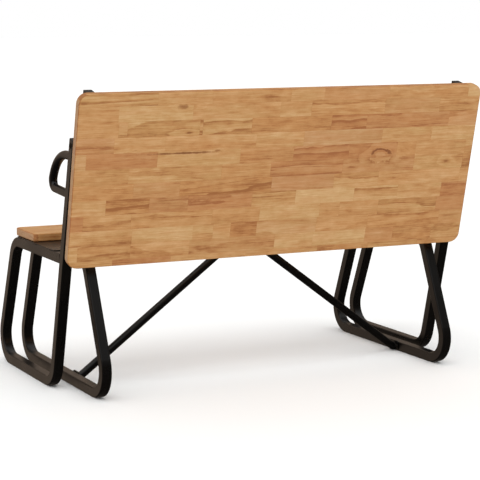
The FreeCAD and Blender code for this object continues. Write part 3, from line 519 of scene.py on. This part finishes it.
def oiled_wood(name, across, through, edge, face, first_row, seed, striking=(), knots=()):
    """Oiled butcher block: every stave has its own tone, rings, streaks and pores."""
    made, nodes, place, shader = material(name)
    board = nodes.group(
        BOARD_PLACE, Point=place["Object"], Across=across, Through=through, Edge=edge, Face=face,
    )["Board"]
    staves = nodes.group(STAVES, Board=board, First_Row=first_row, Seed=seed)
    chance, joint = staves["Chance"], staves["Joint"]
    for row, start, end, own in striking:
        high = -first_row - (row - 1) * STAVE_WIDTH
        chosen = nodes.group(
            STRIKING_STAVE, Board=board, Chance=chance, Joint=joint,
            Start=start, End=end, Low=high - STAVE_WIDTH, High=high, Own_Chance=own,
        )
        chance, joint = chosen["Chance"], chosen["Joint"]
    swell, heart = 0.0, 0.0
    for along, below, size, dark, arch, squat in knots:
        knot = nodes.group(
            KNOT, Board=board, Swell=swell, Heart=heart,
            Middle=(along, -below, 0), Size=size, Dark=dark, Arch=arch, Squat=(squat, 1, 0),
        )
        swell, heart = knot["Swell"], knot["Heart"]
    grain = nodes.group(GRAIN, Board=board, Chance=chance, Middle=staves["Middle"], Swell=swell)
    tone_chance, figure, redness = nodes.split(chance)

    endwise = nodes.math("ABSOLUTE", nodes.split(place["Normal"])[0])
    end_grain = nodes.smooth(endwise, 0.85, 0.97)
    # Painted shade: the rounded edges round the board's ends are darkened where their faces turn
    # between the end grain and the sides
    painted_arris_shade = nodes.times(nodes.smooth(endwise, 0.12, 0.40), nodes.less(1.0, end_grain))
    # Painted shade: the eased long edges of each board are darkened where their faces turn towards the
    # board's edges
    sidewise = nodes.math("ABSOLUTE", nodes.vector("DOT_PRODUCT", place["Normal"], across))
    painted_edge_shade = nodes.smooth(sidewise, 0.20, 0.70)
    tone = nodes.times(grain["Rings"], nodes.smooth(figure, 0.15, 0.95, -0.18, -0.80))
    patterns = [(nodes.ramp(tone_chance, STAVE_TONES), STAVE_WEIGHT)]
    patterns += [(grain[pattern], weight) for pattern, weight in GRAIN_WEIGHTS]
    for value, weight in patterns:
        tone = nodes.math("MULTIPLY_ADD", value, weight, nodes.less(tone, weight / 2))
    # Dark marks: grain lines, pores, joints, knot hearts and the end grain's own tone, plus painted
    # shade on the rounded end edges and the long edges
    for mark, weight in (
        (grain["Lines"], 0.20), (grain["Pores"], 0.14), (joint, 0.14), (heart, 0.5),
        (end_grain, 0.10), (painted_arris_shade, 0.38), (painted_edge_shade, 0.20),
    ):
        tone = nodes.math("MULTIPLY_ADD", mark, -weight, tone)
    colour = nodes.ramp(nodes.math("ADD", tone, 0.5), WOOD_TONES)
    red_share = nodes.times(nodes.smooth(redness, 0.72, 1.0), REDDISH_SHARE)
    colour = nodes.mix(red_share, colour, REDDISH)
    drift = nodes.math("MULTIPLY_ADD", nodes.less(tone_chance, 0.5), 0.35, grain["Drift"])
    colour = nodes.mix(1.0, colour, nodes.ramp(drift, HUE_DRIFT), "MULTIPLY")
    colour = nodes.mix(nodes.times(heart, HEART_SHARE), colour, HEART_BROWN)
    colour = nodes.mix(nodes.times(end_grain, END_GRAIN_SHARE), colour, END_GRAIN)
    nodes.feed(shader.inputs["Base Color"], colour)
    nodes.feed(shader.inputs["Roughness"], nodes.smooth(grain["Fibres"], 0.35, 0.65, 0.50, 0.62))
    relief = nodes.math("MULTIPLY_ADD", grain["Pores"], -0.5, nodes.times(grain["Fibres"], 0.5))
    bump(nodes, shader, nodes.math("MULTIPLY_ADD", joint, -0.6, relief), 0.00012)
    set_plain(shader, Specular_IOR_Level=0.25)
    return made


def cloudy(nodes, shader, cloud, colours, roughness):
    """Lets a slow noise move the colour and the roughness between two values each."""
    nodes.feed(shader.inputs["Base Color"], nodes.mix(cloud, *colours))
    nodes.feed(shader.inputs["Roughness"], nodes.smooth(cloud, 0.3, 0.7, *roughness))


def powder_coat():
    """Satin black powder coat with a faint orange peel."""
    made, nodes, place, shader = material("black powder coat")
    peel = nodes.noise(place["Object"], 420.0, 2.0)
    cloud = nodes.noise(place["Object"], 9.0, 3.0, 0.6)
    cloudy(nodes, shader, cloud, (srgb(5, 4, 3), srgb(8, 6, 5)), (0.26, 0.34))
    bump(nodes, shader, peel, 0.00003)
    set_plain(shader, Specular_IOR_Level=0.4)
    return made


def plated_steel(name, spangle, colours, roughness, grit):
    """Plated steel: spangle and grit are how fine its clouds and its relief are."""
    made, nodes, place, shader = material(name)
    cloud = nodes.noise(place["Object"], spangle, 4.0, 0.6)
    cloudy(nodes, shader, cloud, colours, roughness)
    bump(nodes, shader, nodes.noise(place["Object"], grit, 2.0), 0.00001)
    set_plain(shader, Metallic=1.0)
    return made


def zinc_steel():
    colours = (srgb(150, 152, 150), srgb(196, 196, 190))
    return plated_steel("zinc plated steel", 160.0, colours, (0.26, 0.40), 1500.0)


def black_steel():
    colours = (srgb(38, 36, 35), srgb(62, 59, 57))
    return plated_steel("blackened steel", 220.0, colours, (0.34, 0.48), 1800.0)


def black_plastic():
    """Moulded plastic with a fine spark-eroded grain."""
    made, nodes, place, shader = material("moulded black plastic")
    grain = nodes.noise(place["Object"], 1900.0, 2.0, 0.6)
    cloud = nodes.noise(place["Object"], 60.0, 2.0)
    nodes.feed(shader.inputs["Base Color"], nodes.mix(cloud, srgb(24, 23, 23), srgb(31, 30, 30)))
    nodes.feed(shader.inputs["Roughness"], nodes.smooth(grain, 0.3, 0.7, 0.48, 0.60))
    bump(nodes, shader, grain, 0.00003)
    set_plain(shader, Specular_IOR_Level=0.4)
    return made


def black_rubber():
    """Matt rubber with a coarser grain than the plastic's."""
    made, nodes, place, shader = material("black rubber")
    grain = nodes.noise(place["Object"], 900.0, 3.0, 0.6)
    cloudy(nodes, shader, grain, (srgb(22, 21, 21), srgb(32, 31, 30)), (0.72, 0.86))
    bump(nodes, shader, grain, 0.00004)
    set_plain(shader, Specular_IOR_Level=0.25)
    return made


def table_wood():
    """The backrest's wood: its rows are counted down from the panel's high edge."""
    _, panel_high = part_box("tabletop_panel")
    high_edge = Vector((0, panel_high.y, panel_high.z)).dot(TABLE_UP)
    return oiled_wood(
        "oiled table wood", TABLE_UP, TABLE_BACK,
        high_edge, 0.0, TABLE_TOP_ROW, TABLE_SEED, STRIKING_STAVES, KNOTS,
    )


def seat_wood():
    """The seat's wood: its rows are counted forward from the seat's rear edge."""
    _, seat_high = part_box("seat_board")
    return oiled_wood(
        "oiled seat wood", BACKWARD, UPWARD,
        seat_high.y, seat_high.z, SEAT_BACK_ROW, SEAT_SEED,
    )


def paint_nodes():
    """Gives each CAD node the finish of its material slot."""
    finishes = {
        "table_wood": table_wood(),
        "seat_wood": seat_wood(),
        "frame_metal": powder_coat(),
        "zinc_steel": zinc_steel(),
        "dark_steel": black_steel(),
        "black_plastic": black_plastic(),
        "black_rubber": black_rubber(),
    }
    for part in frame["record"]["subparts"]:
        piece = frame["nodes"][part["node"]]
        piece.data.materials.clear()
        piece.data.materials.append(finishes[part["material_slot"]])
    return finishes


def ring_round(centre, across, up, wide, high, start=0, end=360):
    """A line round a tube where it meets a face: wide and high are its half sizes there."""
    points = []
    for step in range(RING_STEPS + 1):
        angle = math.radians(start + (end - start) * step / RING_STEPS)
        points.append(centre + across * (wide * math.cos(angle)) + up * (high * math.sin(angle)))
    return points


def evenly(points, step):
    """The same line again, in equal steps."""
    made = [points[0]]
    to_next = step
    for start, end in zip(points, points[1:]):
        run = (end - start).length
        while to_next <= run:
            made.append(start + (end - start) * (to_next / run))
            to_next += step
        to_next -= run
    return made


def weld_bead(points, out, first, closed=False):
    """Corners and faces of a rippled bead along a line; out is square to the line."""
    places = evenly(points, BEAD_STEP)
    if closed:
        places.pop()
    count = len(places)
    corners, faces = [], []
    for index, place in enumerate(places):
        before = places[index - 1] if closed or index else place
        after = places[(index + 1) % count] if closed or index + 1 < count else place
        side = (after - before).normalized().cross(out)
        to_end = min(index, count - 1 - index) * BEAD_STEP / BEAD_RADIUS
        taper = 1.0 if closed else math.sqrt(min(1.0, 0.05 + to_end / 2))
        ripple = 1 - abs(math.sin(math.pi * index * BEAD_STEP / RIPPLE_PITCH))
        radius = BEAD_RADIUS * taper * (1 - RIPPLE_DEPTH * ripple)
        for turn in range(BEAD_SIDES):
            angle = 2 * math.pi * turn / BEAD_SIDES
            corners.append(place + (out * math.cos(angle) + side * math.sin(angle)) * radius)
    for index in range(count if closed else count - 1):
        here, there = first + index * BEAD_SIDES, first + (index + 1) % count * BEAD_SIDES
        for turn in range(BEAD_SIDES):
            onward = (turn + 1) % BEAD_SIDES
            faces.append((here + turn, here + onward, there + onward, there + turn))
    if not closed:
        last = first + (count - 1) * BEAD_SIDES
        faces.append(tuple(reversed(range(first, first + BEAD_SIDES))))
        faces.append(tuple(range(last, last + BEAD_SIDES)))
    return corners, faces


def weld_lines(word, side):
    """The lines of one side's welds, each with its outward way and whether it closes."""
    low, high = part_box("post_bushes")
    pivot = (low + high) / 2

    def post_front(along, drop):
        depth = pivot.y - drop * math.tan(POST_LEAN) - HALF_TUBE / math.cos(POST_LEAN)
        return Vector((side * along, depth, pivot.z - drop))

    lines = []
    for drop, high_half in ARM_WELDS:
        ring = ring_round(post_front(POST_MIDDLE, drop), ALONG, POST_UP, ARM_HALF, high_half)
        lines.append((ring, POST_FORWARD, True))
    for drop, way in zip(RAIL_WELDS, (UPWARD, -UPWARD)):
        ends = [post_front(POST_MIDDLE + RAIL_WELD_HALF * end, drop) for end in (-1, 1)]
        lines.append((ends, way, False))
    brace_depth = pivot.y + BRACE_DEPTH
    face, height, half = BRACE_FOOT
    foot = Vector((side * face, brace_depth, height))
    over = ring_round(foot, BACKWARD, UPWARD, BRACE_HALF, half, *BRACE_FOOT_BEAD)
    lines.append((over, ALONG * -side, False))
    middle, height, half = BRACE_HEAD
    head = Vector((side * middle, brace_depth, height))
    lines.append((ring_round(head, ALONG, BACKWARD, half, BRACE_HALF), -UPWARD, True))
    low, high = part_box(word + "_seat_plate")
    for x in (low.x, high.x):
        for share in SEAT_STITCHES:
            start = Vector((x, low.y + (high.y - low.y) * share, low.z))
            lines.append(([start, start + BACKWARD * SEAT_STITCH_LONG], UPWARD, False))
    return lines


def weld_beads(word, side, finish):
    """The rippled welds of one side of the frame, coated with it."""
    name = word + "_weld_beads"
    corners, faces = [], []
    for points, out, closed in weld_lines(word, side):
        more_corners, more_faces = weld_bead(points, out, len(corners), closed)
        corners += more_corners
        faces += more_faces
    mesh = bpy.data.meshes.new(name)
    mesh.from_pydata(corners, [], faces)
    mesh.shade_smooth()
    mesh.materials.append(finish)
    beads = bpy.data.objects.new(name, mesh)
    bpy.context.scene.collection.objects.link(beads)
    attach(beads, "frame")


def studio_floor():
    """A plain pale floor, which gloss doesn't mirror."""
    made, nodes, place, shader = material("studio floor")
    cloud = nodes.noise(place["Object"], 0.6, 2.0)
    cloudy(nodes, shader, cloud, (srgb(246, 246, 245), srgb(249, 249, 248)), (0.85, 0.9))
    set_plain(shader, Specular_IOR_Level=0.1)
    corners = [(x * FLOOR_REACH, y * FLOOR_REACH, 0) for x, y in ((-1, -1), (1, -1), (1, 1), (-1, 1))]
    mesh = bpy.data.meshes.new("floor")
    mesh.from_pydata(corners, [], [(0, 1, 2, 3)])
    floor = bpy.data.objects.new("floor", mesh)
    floor.data.materials.append(made)
    floor.visible_glossy = False
    bpy.context.scene.collection.objects.link(floor)


def studio_room():
    """White all round, but gloss mirrors a room that is light above and warm in front."""
    world = bpy.data.worlds.new("studio")
    world.use_nodes = True
    tree = world.node_tree
    backdrop = tree.nodes["Background"]
    nodes = Nodes(tree)
    way = nodes.vector("NORMALIZE", nodes.add("ShaderNodeTexCoord").outputs["Generated"])
    height = nodes.split(way)[2]
    ceiling = nodes.smooth(height, CEILING_FROM, CEILING_TO, 0.0, CEILING_LIGHT)
    facing = nodes.smooth(nodes.vector("DOT_PRODUCT", way, WINDOW_WAY), -0.2, 1.0)
    window = nodes.times(facing, nodes.smooth(height, -0.7, 0.0))
    room = nodes.mix(window, ROOM_DARK, ROOM_WARM)
    room = nodes.mix(1.0, room, nodes.join(ceiling, ceiling, ceiling), "ADD")
    mirrored = nodes.add("ShaderNodeLightPath").outputs["Is Glossy Ray"]
    nodes.feed(backdrop.inputs["Color"], nodes.mix(mirrored, WHITE, room))
    bpy.context.scene.world = world


def overhead_light():
    """One wide, soft light from above."""
    sky = bpy.data.lights.new("overhead light", "SUN")
    sky.energy = OVERHEAD_STRENGTH
    sky.angle = OVERHEAD_SPREAD
    holder = bpy.data.objects.new("overhead light", sky)
    holder.rotation_mode = "QUATERNION"
    holder.rotation_quaternion = OVERHEAD_WAY.to_track_quat("-Z", "Y")
    bpy.context.scene.collection.objects.link(holder)


def photographers_camera():
    """The camera, behind the bench and to its right."""
    lens = bpy.data.cameras.new("camera")
    lens.lens = CAMERA_LENS
    lens.sensor_width = CAMERA_SENSOR
    lens.sensor_fit = "AUTO"
    camera = bpy.data.objects.new("camera", lens)
    ahead = Vector((
        -math.sin(CAMERA_YAW) * math.cos(CAMERA_PITCH),
        -math.cos(CAMERA_YAW) * math.cos(CAMERA_PITCH),
        -math.sin(CAMERA_PITCH),
    ))
    camera.location = CAMERA_PLACE
    camera.rotation_mode = "QUATERNION"
    camera.rotation_quaternion = ahead.to_track_quat("-Z", "Y")
    bpy.context.scene.collection.objects.link(camera)
    bpy.context.scene.camera = camera


bpy.context.scene.view_settings.view_transform = "Standard"
finishes = paint_nodes()
for word, side in (("left", -1), ("right", 1)):
    weld_beads(word, side, finishes["frame_metal"])
studio_floor()
studio_room()
overhead_light()
photographers_camera()
